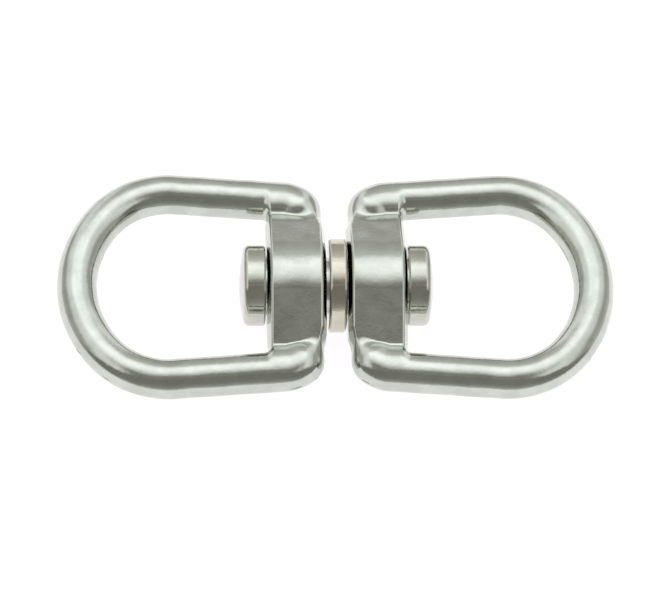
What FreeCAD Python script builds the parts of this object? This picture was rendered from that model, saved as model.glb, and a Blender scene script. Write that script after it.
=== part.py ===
import FreeCAD, Part
import math
import os

# Eye-and-eye anchor swivel for a 6 mm anchor line. Millimetres.
# It lies flat: the swivel axis is X, both eyes are in the XY plane, +Z is up.
# The origin is on the swivel axis, at the middle of the assembly.

# Eyes: a round bar bent to a D, whose open side is closed by a drilled boss
BAR_DIA = 6.0              # size of the bar, and of the chain or shackle that it matches
BOW_END_X = 38.75          # outermost point of the bar's centreline
BOW_HALF_HEIGHT = 15.95    # widest point of the bar's centreline, along Y
BOW_END_RADIUS = 18.0      # centreline, round the end of the bow
BOW_SIDE_RADIUS = 12.4     # centreline, between the end of the bow and each leg
LEG_TAPER_DEG = 4.3        # the legs close in towards the boss
LEG_END_X = 7.7            # each leg turns in towards the boss here
CORNER_RADIUS = 3.2        # centreline
CORNER_TURN_DEG = 50.0     # the bar ends in a half ball after this much of the turn
SHOULDER_OUTER_X = 9.95    # a second run of bar, from the half ball to here, widens the D's corner

BOSS_INNER_X = 1.6         # boss face that looks at the other eye
BOSS_OUTER_X = 10.45       # boss face inside the D
BOSS_HALF_DEPTH = 7.2      # along Z
BOSS_CROWN_RADIUS = 8.6    # front and back of the boss
BOSS_SLOPE_DEG = 29.5      # sides of the boss, which run from the crown down to the bar
BOSS_BEVEL_DEPTH = 2.0     # both flanks lean in over this much of their rim
BOSS_BEVEL_RUN = 0.6       # how far they lean in, along X
BOSS_FLAT_HALF = 9.0       # beyond this, along Y, the inner face falls back towards the D's corner
BOSS_FALL_BACK_DEG = 13.0
BOSS_EDGE_ROUND = 0.3

# Swivel pin, spacer and end head
SHANK_DIA = 8.3
RUNNING_CLEARANCE = 0.08   # radial, between the shank and what turns on it
BORE_CHAMFER = 0.4
HEAD_DIA = 12.1
HEAD_SEAT_X = 10.65        # underside of each head
PIN_END_X = 14.6           # crown of each head
HEAD_CROWN_RADIUS = 22.0
HEAD_EDGE_ROUND = 0.9
HEAD_SEAT_CHAMFER = 0.25
SPIGOT_DIA = 6.0           # reduced end of the pin, riveted over in the end head

SPACER_DIA = 14.1
SPACER_THICKNESS = 2.65
SPACER_OFFSET_X = 0.12     # the ring lies near the right-hand boss
SPACER_EDGE_ROUND = 0.45

BORE_DIA = SHANK_DIA + 2 * RUNNING_CLEARANCE
X_AXIS = FreeCAD.Vector(1, 0, 0)
Y_AXIS = FreeCAD.Vector(0, 1, 0)
Z_AXIS = FreeCAD.Vector(0, 0, 1)
ORIGIN = FreeCAD.Vector(0, 0, 0)


def point(x, y, z=0.0):
    return FreeCAD.Vector(x, y, z)


def bar_disc(centre, direction):
    """The bar's round section at a point of its path."""
    circle = Part.Circle(centre, direction, BAR_DIA / 2)
    return Part.Face(Part.Wire(circle.toShape()))


def straight_bar(start, end):
    return bar_disc(start, end - start).extrude(end - start)


def d_shaped_bar():
    """A bow of three arcs, tangent legs, and round ends that turn in at the D's corners."""
    taper = math.radians(LEG_TAPER_DEG)
    centres = BOW_END_RADIUS - BOW_SIDE_RADIUS
    end_half_angle = math.asin((BOW_HALF_HEIGHT - BOW_SIDE_RADIUS) / centres)
    outward = point(math.cos(end_half_angle), math.sin(end_half_angle))
    end_centre = point(BOW_END_X - BOW_END_RADIUS, 0)
    side_centre = end_centre + outward * centres
    arcs_meet = end_centre + outward * BOW_END_RADIUS
    toward_boss = point(-math.cos(taper), -math.sin(taper))
    leg_start = side_centre + point(-math.sin(taper), math.cos(taper)) * BOW_SIDE_RADIUS
    leg_end_y = leg_start.y - (leg_start.x - LEG_END_X) * math.tan(taper)
    leg_end = point(LEG_END_X, leg_end_y)
    inward = point(math.sin(taper), -math.cos(taper))
    corner_centre = leg_end + inward * CORNER_RADIUS
    lean = taper + math.radians(CORNER_TURN_DEG)
    corner_end = corner_centre + point(-math.sin(lean), math.cos(lean)) * CORNER_RADIUS

    leg = straight_bar(leg_start, leg_end)
    corner = bar_disc(leg_end, toward_boss).revolve(corner_centre, Z_AXIS, CORNER_TURN_DEG)
    ball = Part.makeSphere(BAR_DIA / 2, corner_end)
    shoulder = straight_bar(corner_end, point(SHOULDER_OUTER_X, corner_end.y))
    side_sweep = 90 + LEG_TAPER_DEG - math.degrees(end_half_angle)
    side = bar_disc(leg_start, toward_boss).revolve(side_centre, -Z_AXIS, side_sweep)
    half = [leg, corner, ball, shoulder, side]
    other_half = [piece.mirror(ORIGIN, Y_AXIS) for piece in half]
    along_end = point(outward.y, -outward.x)
    end = bar_disc(arcs_meet, along_end).revolve(end_centre, -Z_AXIS, 2 * math.degrees(end_half_angle))
    return end.multiFuse(half + other_half).removeSplitter()


def boss_section(x, inset):
    """Front half of the section across the swivel axis: a round crown between two straight slopes."""
    slope = math.radians(BOSS_SLOPE_DEG)
    crown_centre_z = BOSS_HALF_DEPTH - BOSS_CROWN_RADIUS
    radius = BOSS_CROWN_RADIUS - inset
    tip_y = (radius + crown_centre_z * math.cos(slope)) / math.sin(slope)
    slope_y = radius * math.sin(slope)
    slope_z = crown_centre_z + radius * math.cos(slope)
    top = point(x, slope_y, slope_z)
    bottom = point(x, -slope_y, slope_z)
    crown = Part.Arc(bottom, point(x, 0, crown_centre_z + radius), top).toShape()
    top_tip = point(x, tip_y, 0)
    bottom_tip = point(x, -tip_y, 0)
    corners = [top, top_tip, bottom_tip, bottom]
    sides = [Part.makeLine(start, end) for start, end in zip(corners, corners[1:])]
    return Part.Wire([crown] + sides)


def front_boss():
    """The boss in front of the parting plane, with both flanks bevelled and their rims rounded."""
    stations = [
        (BOSS_INNER_X, BOSS_BEVEL_DEPTH),
        (BOSS_INNER_X + BOSS_BEVEL_RUN, 0),
        (BOSS_OUTER_X - BOSS_BEVEL_RUN, 0),
        (BOSS_OUTER_X, BOSS_BEVEL_DEPTH),
    ]
    sections = [boss_section(x, inset) for x, inset in stations]
    front = Part.makeLoft(sections, True, True)
    rim = [edge for edge in front.Edges if is_rim(edge)]
    return front.makeFillet(BOSS_EDGE_ROUND, rim).common(plan_block())


def is_rim(edge):
    """True for an edge between a bevel and the boss's outside."""
    box = edge.BoundBox
    square_to_axis = box.XLength < 1e-4
    on_parting_plane = box.ZMax < 1e-4
    on_band = BOSS_INNER_X + 0.1 < box.XMin < BOSS_OUTER_X - 0.1
    return square_to_axis and on_band and not on_parting_plane


def plan_block():
    """The boss's outline in the plane of the eye: the inner face falls back towards both ends."""
    half_height = 2 * BOSS_FLAT_HALF
    fall_back = (half_height - BOSS_FLAT_HALF) * math.tan(math.radians(BOSS_FALL_BACK_DEG))
    far_x = BOSS_OUTER_X + 1
    corners = [
        point(far_x, -half_height),
        point(far_x, half_height),
        point(BOSS_INNER_X + fall_back, half_height),
        point(BOSS_INNER_X, BOSS_FLAT_HALF),
        point(BOSS_INNER_X, -BOSS_FLAT_HALF),
        point(BOSS_INNER_X + fall_back, -half_height),
    ]
    outline = Part.Face(Part.makePolygon(corners + corners[:1]))
    return outline.extrude(Z_AXIS * (BOSS_HALF_DEPTH + 1))


def bore():
    """The hole for the shank, opened out by a small chamfer at both flanks."""
    length = BOSS_OUTER_X - BOSS_INNER_X
    hole = Part.makeCylinder(BORE_DIA / 2, length + 2, point(BOSS_INNER_X - 1, 0), X_AXIS)
    wide = BORE_DIA / 2 + BORE_CHAMFER
    mouth = Part.makeCone(wide, BORE_DIA / 2, BORE_CHAMFER, point(BOSS_INNER_X, 0), X_AXIS)
    far_mouth = Part.makeCone(wide, BORE_DIA / 2, BORE_CHAMFER, point(BOSS_OUTER_X, 0), -X_AXIS)
    return hole.multiFuse([mouth, far_mouth])


def eye():
    """The right-hand eye, from the swivel's middle out to +X; both sides of its parting plane are alike."""
    front = front_boss()
    back = front.mirror(ORIGIN, Z_AXIS)
    body = d_shaped_bar().multiFuse([front, back]).removeSplitter()
    return body.cut(bore())


def turned(outline):
    """Solid turned about the X axis from its (x, radius) outline."""
    corners = [point(x, radius) for x, radius in outline]
    face = Part.Face(Part.makePolygon(corners + corners[:1]))
    return face.revolve(ORIGIN, X_AXIS, 360)


def round_outer_edges(body, radius, x_low, x_high, edge_round):
    """Round the circular edges of one diameter whose centres lie between two places along X."""
    chosen = []
    for edge in body.Edges:
        circle = edge.Curve
        if not isinstance(circle, Part.Circle):
            continue
        if abs(circle.Radius - radius) < 0.05 and x_low < circle.Center.x < x_high:
            chosen.append(edge)
    return body.makeFillet(edge_round, chosen)


def domed_head():
    """Head at the +X end, without its fastening: a low dome on a round disc."""
    radius = HEAD_DIA / 2
    disc = turned([
        (HEAD_SEAT_X, 0),
        (HEAD_SEAT_X, radius - HEAD_SEAT_CHAMFER),
        (HEAD_SEAT_X + HEAD_SEAT_CHAMFER, radius),
        (PIN_END_X, radius),
        (PIN_END_X, 0),
    ])
    crown = Part.makeSphere(HEAD_CROWN_RADIUS, point(PIN_END_X - HEAD_CROWN_RADIUS, 0))
    head = disc.common(crown)
    return round_outer_edges(head, radius, HEAD_SEAT_X + 1, PIN_END_X, HEAD_EDGE_ROUND)


def spigot_space():
    """Room that the riveted spigot takes up inside the end head."""
    return Part.makeCylinder(SPIGOT_DIA / 2, PIN_END_X, ORIGIN, X_AXIS)


def swivel_pin():
    """Shank with a solid head at -X and a spigot at +X, riveted flush with the end head's dome."""
    head = domed_head().mirror(ORIGIN, X_AXIS)
    length = 2 * HEAD_SEAT_X
    shank = Part.makeCylinder(SHANK_DIA / 2, length, point(-HEAD_SEAT_X, 0), X_AXIS)
    spigot = domed_head().common(spigot_space())
    return head.multiFuse([shank, spigot])


def end_head():
    return domed_head().cut(spigot_space())


def spacer_ring():
    """Loose ring between the two bosses."""
    start = point(SPACER_OFFSET_X - SPACER_THICKNESS / 2, 0)
    ring = Part.makeCylinder(SPACER_DIA / 2, SPACER_THICKNESS, start, X_AXIS)
    ring = round_outer_edges(ring, SPACER_DIA / 2, -SPACER_THICKNESS, SPACER_THICKNESS, SPACER_EDGE_ROUND)
    hole = Part.makeCylinder(BORE_DIA / 2, SPACER_THICKNESS, start, X_AXIS)
    return ring.cut(hole)


right_eye = eye()
left_eye = right_eye.copy()
left_eye.rotate(ORIGIN, Z_AXIS, 180)

os.makedirs("parts", exist_ok=True)
nodes = {
    "left_eye": left_eye,
    "right_eye": right_eye,
    "swivel_pin": swivel_pin(),
    "end_head": end_head(),
    "spacer_ring": spacer_ring(),
}
for name, shape in nodes.items():
    shape.exportStep(f"parts/{name}.step")
    box = shape.BoundBox
    low = f"({box.XMin:.2f}, {box.YMin:.2f}, {box.ZMin:.2f})"
    high = f"({box.XMax:.2f}, {box.YMax:.2f}, {box.ZMax:.2f})"
    print(f"{name}: {shape.Volume:.1f} mm3, {low} to {high}, valid {shape.isValid()}")
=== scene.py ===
import math

import bpy
import numpy as np
from mathutils import Matrix, Vector


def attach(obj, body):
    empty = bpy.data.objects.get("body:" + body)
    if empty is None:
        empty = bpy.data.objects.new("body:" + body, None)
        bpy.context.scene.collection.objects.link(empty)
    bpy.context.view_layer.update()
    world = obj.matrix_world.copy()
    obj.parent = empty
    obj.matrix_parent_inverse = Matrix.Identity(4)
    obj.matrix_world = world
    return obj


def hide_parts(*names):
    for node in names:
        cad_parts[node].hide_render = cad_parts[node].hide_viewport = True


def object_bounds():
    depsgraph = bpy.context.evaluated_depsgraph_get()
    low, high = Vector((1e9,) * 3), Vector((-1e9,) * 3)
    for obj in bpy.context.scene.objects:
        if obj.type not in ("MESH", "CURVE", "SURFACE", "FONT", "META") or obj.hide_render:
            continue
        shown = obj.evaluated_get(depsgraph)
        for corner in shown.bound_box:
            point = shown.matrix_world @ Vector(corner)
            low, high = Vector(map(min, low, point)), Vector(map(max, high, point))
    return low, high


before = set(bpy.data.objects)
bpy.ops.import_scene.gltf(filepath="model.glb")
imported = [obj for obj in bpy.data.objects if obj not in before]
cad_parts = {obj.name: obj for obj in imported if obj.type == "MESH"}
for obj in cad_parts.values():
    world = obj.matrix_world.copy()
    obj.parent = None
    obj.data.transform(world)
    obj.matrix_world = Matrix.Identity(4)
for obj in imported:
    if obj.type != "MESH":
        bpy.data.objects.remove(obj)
cad_low, cad_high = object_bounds()

MM = 0.001
scene = bpy.context.scene

# Camera: on the -Y side of the swivel as it lies flat, 60 degrees up, and a little to the left
CAMERA_YAW_DEG = 3.0
CAMERA_PITCH_DEG = -30.0
CAMERA_DISTANCE = 600 * MM
CAMERA_LENS_MM = 217.7
CAMERA_TARGET_RIGHT = -0.75 * MM
CAMERA_TARGET_UP = -1.40 * MM

# Surroundings: light level by the tilt of the surface that mirrors it to the photo's viewpoint,
# from facing down the picture (0) to facing up it (1)
ROOM_LEVELS = [
    (0.0, 1.0), (0.23, 0.95), (0.265, 0.46), (0.31, 0.33), (0.36, 0.28), (0.494, 0.27),
    (0.507, 0.40), (0.52, 0.27), (0.56, 0.42), (0.61, 0.96), (0.66, 1.40), (0.72, 1.62),
    (0.765, 1.45), (0.81, 0.80), (0.86, 0.62), (0.92, 0.52), (0.965, 0.62), (1.0, 0.95),
]
# Light level of the walls, from no sideways tilt (0) to full (1), with a darker gap in each
WALL_LEVELS = [
    (0.0, 1.2), (0.30, 1.08), (0.45, 0.95), (0.56, 0.52),
    (0.66, 0.52), (0.78, 0.80), (0.88, 0.85), (1.0, 0.5),
]
# Where the walls take over from the room, by sideways tilt and by tilt up the picture
WALL_SIDE_START = 0.14
WALL_SIDE_FULL = 0.34
WALL_RISE_START = -0.13
WALL_RISE_FULL = -0.02
DIM_LEVEL = 0.25
SOFTBOX_LEVEL = 1.3
DIM_TINT = (1.0, 0.965, 0.90, 1.0)
SOFTBOX_TINT = (1.0, 1.01, 1.02, 1.0)
# Just over 1, so that the sum with the opposite direction never vanishes
VIEW_STRETCH = 1.0001

FILL_SIZE = 0.9
FILL_HEIGHT = 0.6
FILL_POWER = 3.2

# The floor glows evenly around the swivel, and less further out
FLOOR_SIZE = 1.6
FLOOR_GAP = 0.02 * MM
FLOOR_COLOUR = (0.20, 0.20, 0.20, 1.0)
FLOOR_GLOW_COLOUR = (1.0, 0.97, 0.995, 1.0)
FLOOR_GLOW = 0.92
FLOOR_FAR_GLOW = 0.40
FLOOR_FADE_START = 0.072
FLOOR_FADE_END = 0.16

# Steel; the widths and places of the parting line are in millimetres
EYE_COLOUR = (0.57, 0.60, 0.55)
PIN_COLOUR = (0.575, 0.59, 0.53)
SPACER_COLOUR = (0.59, 0.578, 0.478)
BLOTCH_SHADE = 0.9
LEAST_ROUGHNESS = 0.06
MOST_ROUGHNESS = 0.13
RELIEF_DEPTH = 0.017 * MM
GRAIN_SHARE = 0.02
PIT_SHARE = 0.5
LATHE_SHARE = 0.15
PARTING_LINE_COLOUR = (0.14, 0.13, 0.12, 1)
PARTING_LINE_ROUGHNESS = 0.3
PARTING_LINE_HALF_WIDTH = 0.17
PARTING_LINE_CORE = 0.06
PARTING_LINE_WOBBLE = 0.5
PARTING_LINE_INNER_X = (6.0, 8.0)
PARTING_LINE_OUTER_X = (33.0, 35.0)


def view_axes():
    """The camera's right, up and backward directions; the swivel axis is level in the picture."""
    yaw = math.radians(CAMERA_YAW_DEG)
    pitch = math.radians(CAMERA_PITCH_DEG)
    back = Vector((-math.sin(yaw) * math.cos(pitch), math.sin(pitch), math.cos(yaw) * math.cos(pitch)))
    axis = Vector((1, 0, 0))
    right = (axis - back * axis.dot(back)).normalized()
    return right, back.cross(right), back


def add_camera():
    """The photo's viewpoint, far off and with a long lens."""
    right, up, back = view_axes()
    data = bpy.data.cameras.new("camera")
    data.lens = CAMERA_LENS_MM
    data.clip_start = 0.01
    camera = bpy.data.objects.new("camera", data)
    camera.matrix_world = Matrix((right, up, back)).transposed().to_4x4()
    target = right * CAMERA_TARGET_RIGHT + up * CAMERA_TARGET_UP
    camera.location = target + back * CAMERA_DISTANCE
    scene.collection.objects.link(camera)
    scene.camera = camera


class Graph:
    """Short calls that add and join the nodes of one material or world."""

    def __init__(self, tree):
        self.tree = tree
        tree.nodes.clear()

    def add(self, kind, **settings):
        node = self.tree.nodes.new(kind)
        for name, value in settings.items():
            setattr(node, name, value)
        return node

    def join(self, source, target):
        self.tree.links.new(source, target)

    def fill(self, socket, value):
        if isinstance(value, bpy.types.NodeSocket):
            self.join(value, socket)
        else:
            socket.default_value = value

    def math(self, operation, first, second=0.0):
        node = self.add("ShaderNodeMath", operation=operation)
        self.fill(node.inputs[0], first)
        self.fill(node.inputs[1], second)
        return node.outputs[0]

    def vector(self, operation, first, second=(0, 0, 0)):
        node = self.add("ShaderNodeVectorMath", operation=operation)
        self.fill(node.inputs[0], first)
        self.fill(node.inputs[1], second)
        return node.outputs["Value" if operation in ("LENGTH", "DOT_PRODUCT") else "Vector"]

    def spread(self, value, from_low, from_high, to_low, to_high):
        node = self.add("ShaderNodeMapRange", interpolation_type="SMOOTHSTEP")
        for socket, setting in zip(node.inputs, (value, from_low, from_high, to_low, to_high)):
            self.fill(socket, setting)
        return node.outputs[0]

    def noise(self, vector, scale, detail=2.0, roughness=0.5):
        node = self.add("ShaderNodeTexNoise")
        self.fill(node.inputs["Vector"], vector)
        node.inputs["Scale"].default_value = scale
        node.inputs["Detail"].default_value = detail
        node.inputs["Roughness"].default_value = roughness
        return node.outputs["Fac"]

    def ramp(self, value, stops):
        node = self.add("ShaderNodeValToRGB")
        self.fill(node.inputs[0], value)
        elements = node.color_ramp.elements
        for place, _ in stops[1:-1]:
            elements.new(place)
        for element, (place, level) in zip(elements, stops):
            element.position = place
            element.color = (level, level, level, 1)
        return node.outputs[0]

    def mix(self, factor, first, second):
        node = self.add("ShaderNodeMix", data_type="RGBA")
        self.fill(node.inputs["Factor"], factor)
        self.fill(node.inputs[6], first)
        self.fill(node.inputs[7], second)
        return node.outputs[2]


def studio_world():
    """Soft studio surroundings: a broad softbox overhead, a dim room, and pale walls to both sides."""
    world = bpy.data.worlds.new("studio")
    world.use_nodes = True
    g = Graph(world.node_tree)
    direction = g.add("ShaderNodeTexCoord").outputs["Generated"]
    right, up, back = view_axes()
    # The tilt of a surface that mirrors this direction to the photo's viewpoint, fixed in the frame
    tilt = g.vector("NORMALIZE", g.vector("ADD", direction, tuple(back * VIEW_STRETCH)))
    across = g.vector("DOT_PRODUCT", tilt, tuple(right))
    along = g.vector("DOT_PRODUCT", tilt, tuple(up))
    place = g.math("ADD", g.math("MULTIPLY", along, 0.5), 0.5)
    bands = g.ramp(place, ROOM_LEVELS)
    wide = g.math("ABSOLUTE", across)
    walls = g.ramp(wide, WALL_LEVELS)
    side_share = g.spread(wide, WALL_SIDE_START, WALL_SIDE_FULL, 0.0, 1.0)
    side_band = g.spread(along, WALL_RISE_START, WALL_RISE_FULL, 0.0, 1.0)
    share = g.math("MULTIPLY", side_share, side_band)
    light = g.mix(share, bands, walls)
    # The dim parts of the room are warmer than the softbox
    tint = g.mix(g.spread(light, DIM_LEVEL, SOFTBOX_LEVEL, 0.0, 1.0), DIM_TINT, SOFTBOX_TINT)
    colour = g.vector("MULTIPLY", light, tint)
    background = g.add("ShaderNodeBackground")
    g.join(colour, background.inputs["Color"])
    background.inputs["Strength"].default_value = 1.0
    output = g.add("ShaderNodeOutputWorld")
    g.join(background.outputs[0], output.inputs[0])
    scene.world = world


def add_lights():
    """A large soft light that evens out the floor and adds no highlight of its own."""
    data = bpy.data.lights.new("fill", "AREA")
    data.shape = "SQUARE"
    data.size = FILL_SIZE
    data.energy = FILL_POWER
    light = bpy.data.objects.new("fill", data)
    light.location = (0, 0, FILL_HEIGHT)
    light.visible_glossy = False
    light.visible_camera = False
    scene.collection.objects.link(light)


def add_floor():
    """A plain pale floor that the swivel lies on, lit from within like a light table."""
    half = FLOOR_SIZE / 2
    level = cad_low[2] - FLOOR_GAP
    mesh = bpy.data.meshes.new("floor")
    corners = [(-half, -half, level), (half, -half, level), (half, half, level), (-half, half, level)]
    mesh.from_pydata(corners, [], [(0, 1, 2, 3)])
    floor = bpy.data.objects.new("floor", mesh)
    scene.collection.objects.link(floor)
    material = bpy.data.materials.new("floor")
    material.use_nodes = True
    g = Graph(material.node_tree)
    distance = g.vector("LENGTH", g.add("ShaderNodeTexCoord").outputs["Object"])
    glow = g.spread(distance, FLOOR_FADE_START, FLOOR_FADE_END, FLOOR_GLOW, FLOOR_FAR_GLOW)
    shader = g.add("ShaderNodeBsdfPrincipled")
    shader.inputs["Base Color"].default_value = FLOOR_COLOUR
    shader.inputs["Roughness"].default_value = 0.9
    shader.inputs["Specular IOR Level"].default_value = 0.0
    shader.inputs["Emission Color"].default_value = FLOOR_GLOW_COLOUR
    g.join(glow, shader.inputs["Emission Strength"])
    output = g.add("ShaderNodeOutputMaterial")
    g.join(shader.outputs[0], output.inputs[0])
    mesh.materials.append(material)


def parting_line(g, place):
    """Thin broken line left by the mould, near the swivel's middle and at the ends of the bows."""
    parts = g.add("ShaderNodeSeparateXYZ")
    g.join(place, parts.inputs[0])
    wobble = g.math("MULTIPLY", g.math("SUBTRACT", g.noise(place, 0.7), 0.5), PARTING_LINE_WOBBLE)
    off_plane = g.math("ABSOLUTE", g.math("ADD", parts.outputs[2], wobble))
    line = g.spread(off_plane, PARTING_LINE_CORE, PARTING_LINE_HALF_WIDTH, 1.0, 0.0)
    left_in = g.spread(g.noise(place, 0.42, 3.0, 0.6), 0.49, 0.55, 0.0, 1.0)
    away = g.math("ABSOLUTE", parts.outputs[0])
    middle = g.spread(away, *PARTING_LINE_INNER_X, 1.0, 0.0)
    ends = g.spread(away, *PARTING_LINE_OUTER_X, 0.0, 1.0)
    shown = g.math("ADD", middle, ends)
    return g.math("MULTIPLY", g.math("MULTIPLY", line, left_in), shown)


def steel(name, colour, turned=False):
    """Polished steel: faint tone changes, orange-peel and small pits.

    Turned steel adds fine lathe lines, and cast steel adds its parting line.
    """
    material = bpy.data.materials.new(name)
    material.use_nodes = True
    g = Graph(material.node_tree)
    place = g.vector("MULTIPLY", g.add("ShaderNodeTexCoord").outputs["Object"], (1 / MM, 1 / MM, 1 / MM))
    blotches = g.noise(place, 0.35, 3.0)
    darker = tuple(channel * BLOTCH_SHADE for channel in colour) + (1,)
    base = g.mix(g.spread(blotches, 0.35, 0.65, 0.0, 1.0), colour + (1,), darker)
    peel = g.noise(place, 1.3, 3.0, 0.55)
    grain = g.noise(place, 9.0, 2.0, 0.6)
    pits = g.spread(g.noise(place, 2.6, 1.0), 0.74, 0.80, 0.0, 1.0)
    height = g.math("ADD", peel, g.math("MULTIPLY", grain, GRAIN_SHARE))
    height = g.math("SUBTRACT", height, g.math("MULTIPLY", pits, PIT_SHARE))
    rough = g.spread(g.noise(place, 0.8, 4.0), 0.3, 0.7, LEAST_ROUGHNESS, MOST_ROUGHNESS)
    if turned:
        parts = g.add("ShaderNodeSeparateXYZ")
        g.join(place, parts.inputs[0])
        round_y = g.math("MULTIPLY", parts.outputs[1], parts.outputs[1])
        round_z = g.math("MULTIPLY", parts.outputs[2], parts.outputs[2])
        radius = g.math("SQRT", g.math("ADD", round_y, round_z))
        lathe_place = g.add("ShaderNodeCombineXYZ")
        g.join(parts.outputs[0], lathe_place.inputs[0])
        g.join(radius, lathe_place.inputs[1])
        lathe = g.noise(lathe_place.outputs[0], 14.0, 2.0)
        height = g.math("ADD", height, g.math("MULTIPLY", lathe, LATHE_SHARE))
    else:
        line = parting_line(g, place)
        base = g.mix(line, base, PARTING_LINE_COLOUR)
        rough = g.math("ADD", rough, g.math("MULTIPLY", line, PARTING_LINE_ROUGHNESS))
    bump = g.add("ShaderNodeBump")
    bump.inputs["Strength"].default_value = 1.0
    bump.inputs["Distance"].default_value = RELIEF_DEPTH
    g.join(height, bump.inputs["Height"])
    shader = g.add("ShaderNodeBsdfPrincipled")
    shader.inputs["Metallic"].default_value = 1.0
    g.join(base, shader.inputs["Base Color"])
    g.join(rough, shader.inputs["Roughness"])
    g.join(bump.outputs[0], shader.inputs["Normal"])
    output = g.add("ShaderNodeOutputMaterial")
    g.join(shader.outputs[0], output.inputs[0])
    return material


# Eye shape, in millimetres, as in the CAD model but for a slimmer shoulder, softer edges, blends and waves
BAR_RADIUS = 3.0
BOW_END_X = 38.75
BOW_HALF_HEIGHT = 15.95
BOW_END_RADIUS = 18.0
BOW_SIDE_RADIUS = 12.4
LEG_TAPER = math.radians(4.3)
LEG_END_X = 7.7
CORNER_RADIUS = 3.2
CORNER_TURN = math.radians(50.0)
SHOULDER_OUTER_X = 9.95
SHOULDER_RADIUS = 2.72
SHOULDER_ROUND = 0.5
BOSS_INNER_X = 1.6
BOSS_OUTER_X = 10.45
BOSS_HALF_DEPTH = 7.2
BOSS_CROWN_RADIUS = 8.6
BOSS_SLOPE = math.radians(29.5)
BOSS_BEVEL_DEPTH = 2.0
BOSS_BEVEL_RUN = 0.6
BOSS_FLAT_HALF = 9.0
BOSS_FALL_BACK = math.radians(13.0)
BOSS_RIM_ROUND = 0.35
BAR_BLEND_ROUND = 1.0
BOSS_BLEND_ROUND = 0.5
CORNER_BLEND_ROUND = 1.8
BORE_RADIUS = 4.23
BORE_ROUND = 0.35
BORE_END_X = 16.0
CORNER_BLEND_START_X = 6.0
CORNER_BLEND_RUN = 3.0
MIDPLANE_SOFTENING = 0.25
WAVE_HEIGHT = 0.012
# Where the slow waves of the cast skin start, for each eye
RIGHT_EYE_WAVES = (0.0, 1.0, 2.0)
LEFT_EYE_WAVES = (2.6, 0.4, 4.1)
SKIN_STEP = 0.26
GRADIENT_STEP = 0.004
PROJECTION_STEPS = 6
LEAST_SQUARED_SLOPE = 0.2


def capsule(x, y, start, end):
    """Distance in the plane from points to a straight run."""
    run = np.subtract(end, start)
    share = ((x - start[0]) * run[0] + (y - start[1]) * run[1]) / run.dot(run)
    share = np.clip(share, 0.0, 1.0)
    return np.hypot(x - start[0] - share * run[0], y - start[1] - share * run[1])


def arc(x, y, centre, radius, start, end):
    """Distance in the plane from points to the line of an arc, or infinity beside it; angles from +X."""
    angle = np.arctan2(y - centre[1], x - centre[0])
    beside = (angle < start) | (angle > end)
    return np.where(beside, np.inf, np.abs(np.hypot(x - centre[0], y - centre[1]) - radius))


def soft_max(first, second, radius):
    """The common part of two shapes, with its edge rounded."""
    inner = np.minimum(np.maximum(first, second), -radius)
    return inner + np.hypot(np.maximum(first + radius, 0), np.maximum(second + radius, 0))


def soft_min(first, second, radius):
    """Two shapes joined, with the hollow between them filled to a radius."""
    return -soft_max(-first, -second, radius)


def bar_distance(x, y, z):
    """Distance to the skin of the D-shaped bar, whose two legs are alike, with its widened corners."""
    y = np.abs(y)
    sine, cosine = math.sin(LEG_TAPER), math.cos(LEG_TAPER)
    centres = BOW_END_RADIUS - BOW_SIDE_RADIUS
    half_angle = math.asin((BOW_HALF_HEIGHT - BOW_SIDE_RADIUS) / centres)
    end_centre = (BOW_END_X - BOW_END_RADIUS, 0.0)
    side_centre = (end_centre[0] + centres * math.cos(half_angle), centres * math.sin(half_angle))
    leg_start = (side_centre[0] - BOW_SIDE_RADIUS * sine, side_centre[1] + BOW_SIDE_RADIUS * cosine)
    leg_end = (LEG_END_X, leg_start[1] - (leg_start[0] - LEG_END_X) * sine / cosine)
    corner_centre = (leg_end[0] + CORNER_RADIUS * sine, leg_end[1] - CORNER_RADIUS * cosine)
    corner_start = math.pi / 2 + LEG_TAPER
    lean = LEG_TAPER + CORNER_TURN
    ball_x = corner_centre[0] - CORNER_RADIUS * math.sin(lean)
    ball_y = corner_centre[1] + CORNER_RADIUS * math.cos(lean)
    lines = [
        arc(x, y, end_centre, BOW_END_RADIUS, -half_angle, half_angle),
        arc(x, y, side_centre, BOW_SIDE_RADIUS, half_angle, corner_start),
        capsule(x, y, leg_start, leg_end),
        arc(x, y, corner_centre, CORNER_RADIUS, corner_start, corner_start + CORNER_TURN),
        np.hypot(x - ball_x, y - ball_y),
    ]
    bar = np.hypot(np.min(lines, axis=0), z) - BAR_RADIUS
    shoulder = np.hypot(capsule(x, y, (ball_x, ball_y), (SHOULDER_OUTER_X, ball_y)), z) - SHOULDER_RADIUS
    shoulder = soft_max(shoulder, x - SHOULDER_OUTER_X, SHOULDER_ROUND)
    return soft_min(bar, shoulder, BAR_BLEND_ROUND)


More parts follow.
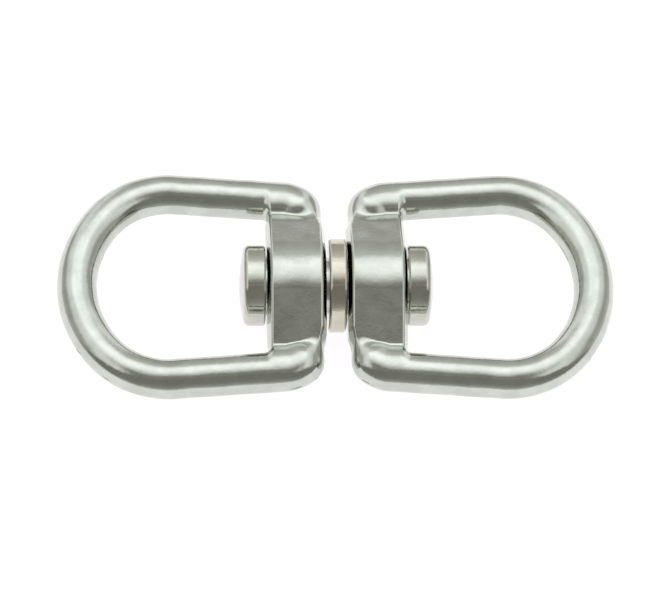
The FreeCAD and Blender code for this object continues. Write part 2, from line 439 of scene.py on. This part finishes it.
def boss_distance(x, y, z):
    """Distance to the skin of the boss: a round crown between two slopes, with bevelled flanks."""
    y = np.abs(y)
    z = np.hypot(z, MIDPLANE_SOFTENING)
    crown_centre_z = BOSS_HALF_DEPTH - BOSS_CROWN_RADIUS
    reach = BOSS_CROWN_RADIUS + crown_centre_z * math.cos(BOSS_SLOPE)
    on_crown = y < (z - crown_centre_z) * math.tan(BOSS_SLOPE)
    crown = np.hypot(y, z - crown_centre_z) - BOSS_CROWN_RADIUS
    slope = y * math.sin(BOSS_SLOPE) + z * math.cos(BOSS_SLOPE) - reach
    section = np.where(on_crown, crown, slope)

    bevel_slope = BOSS_BEVEL_RUN / BOSS_BEVEL_DEPTH
    bevel_scale = math.hypot(1, bevel_slope)
    fall_back = (y - BOSS_FLAT_HALF) * math.sin(BOSS_FALL_BACK)
    inner = BOSS_INNER_X - x
    outer = x - BOSS_OUTER_X
    inner = np.maximum(inner, inner * math.cos(BOSS_FALL_BACK) + fall_back)
    flank = np.maximum(inner, outer)
    bevel = (flank + (section + BOSS_BEVEL_DEPTH) * bevel_slope) / bevel_scale
    return soft_max(section, np.maximum(flank, bevel), BOSS_RIM_ROUND)


def eye_distance(points, unevenness):
    """Distance from points to the skin of the right-hand eye, in millimetres."""
    x, y, z = points.T
    toward_corner = np.clip((CORNER_BLEND_START_X - x) / CORNER_BLEND_RUN, 0.0, 1.0)
    toward_corner = toward_corner * toward_corner * (3 - 2 * toward_corner)
    blend = BOSS_BLEND_ROUND + toward_corner * (CORNER_BLEND_ROUND - BOSS_BLEND_ROUND)
    body = soft_min(bar_distance(x, y, z), boss_distance(x, y, z), blend)
    bore = np.minimum(BORE_RADIUS - np.hypot(y, z), BORE_END_X - x)
    body = soft_max(body, bore, BORE_ROUND)
    a, b, c = unevenness
    waves = np.sin(0.83 * x + 0.31 * y + a) * np.sin(0.71 * y - 0.44 * z + b)
    waves = waves + np.sin(0.52 * z + 0.97 * x + c) * np.sin(1.13 * y + a)
    return body + WAVE_HEIGHT * waves


def gradient(points, unevenness):
    """Slope of eye_distance at each point, by central differences."""
    slopes = []
    for axis in np.eye(3) * GRADIENT_STEP:
        ahead = eye_distance(points + axis, unevenness)
        behind = eye_distance(points - axis, unevenness)
        slopes.append((ahead - behind) / (2 * GRADIENT_STEP))
    return np.stack(slopes, axis=1)


def add_eye(name, body, turned_round, unevenness, material):
    """An eye as one even skin, drawn onto its exact shape, with soft blends between the bar and the boss."""
    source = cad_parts["right_eye"].data.copy()
    source.transform(Matrix.Scale(1 / MM, 4))
    rough = bpy.data.objects.new(name + "_rough", source)
    scene.collection.objects.link(rough)
    remesh = rough.modifiers.new("skin", "REMESH")
    remesh.mode = "VOXEL"
    remesh.voxel_size = SKIN_STEP
    bpy.context.view_layer.update()
    mesh = bpy.data.meshes.new_from_object(rough.evaluated_get(bpy.context.evaluated_depsgraph_get()))
    bpy.data.objects.remove(rough)
    mesh.name = name + "_skin"

    count = len(mesh.vertices)
    flat = np.empty(count * 3)
    mesh.vertices.foreach_get("co", flat)
    points = flat.reshape(-1, 3)
    for _ in range(PROJECTION_STEPS):
        slope = gradient(points, unevenness)
        size = np.maximum((slope ** 2).sum(1), LEAST_SQUARED_SLOPE)
        points = points - slope * (eye_distance(points, unevenness) / size)[:, None]
    normals = gradient(points, unevenness)
    normals /= np.linalg.norm(normals, axis=1)[:, None]
    if turned_round:
        points = points * (-1, -1, 1)
        normals = normals * (-1, -1, 1)
    mesh.vertices.foreach_set("co", (points * MM).ravel())
    for polygon in mesh.polygons:
        polygon.use_smooth = True
    mesh.update()
    mesh.normals_split_custom_set_from_vertices([tuple(normal) for normal in normals])
    mesh.materials.clear()
    mesh.materials.append(material)
    piece = bpy.data.objects.new(name + "_skin", mesh)
    scene.collection.objects.link(piece)
    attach(piece, body)
    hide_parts(name)


def finish_node(name, material):
    """A CAD node that keeps its own shape, with a material of its own."""
    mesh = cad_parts[name].data
    mesh.materials.clear()
    mesh.materials.append(material)


scene.view_settings.view_transform = "Standard"
add_camera()
studio_world()
add_lights()
add_floor()

eye_steel = steel("eye_steel", EYE_COLOUR)
pin_steel = steel("pin_steel", PIN_COLOUR, turned=True)
spacer_steel = steel("spacer_steel", SPACER_COLOUR, turned=True)
add_eye("right_eye", "right_eye", False, RIGHT_EYE_WAVES, eye_steel)
add_eye("left_eye", "left_eye", True, LEFT_EYE_WAVES, eye_steel)
for node in ("swivel_pin", "end_head"):
    finish_node(node, pin_steel)
finish_node("spacer_ring", spacer_steel)
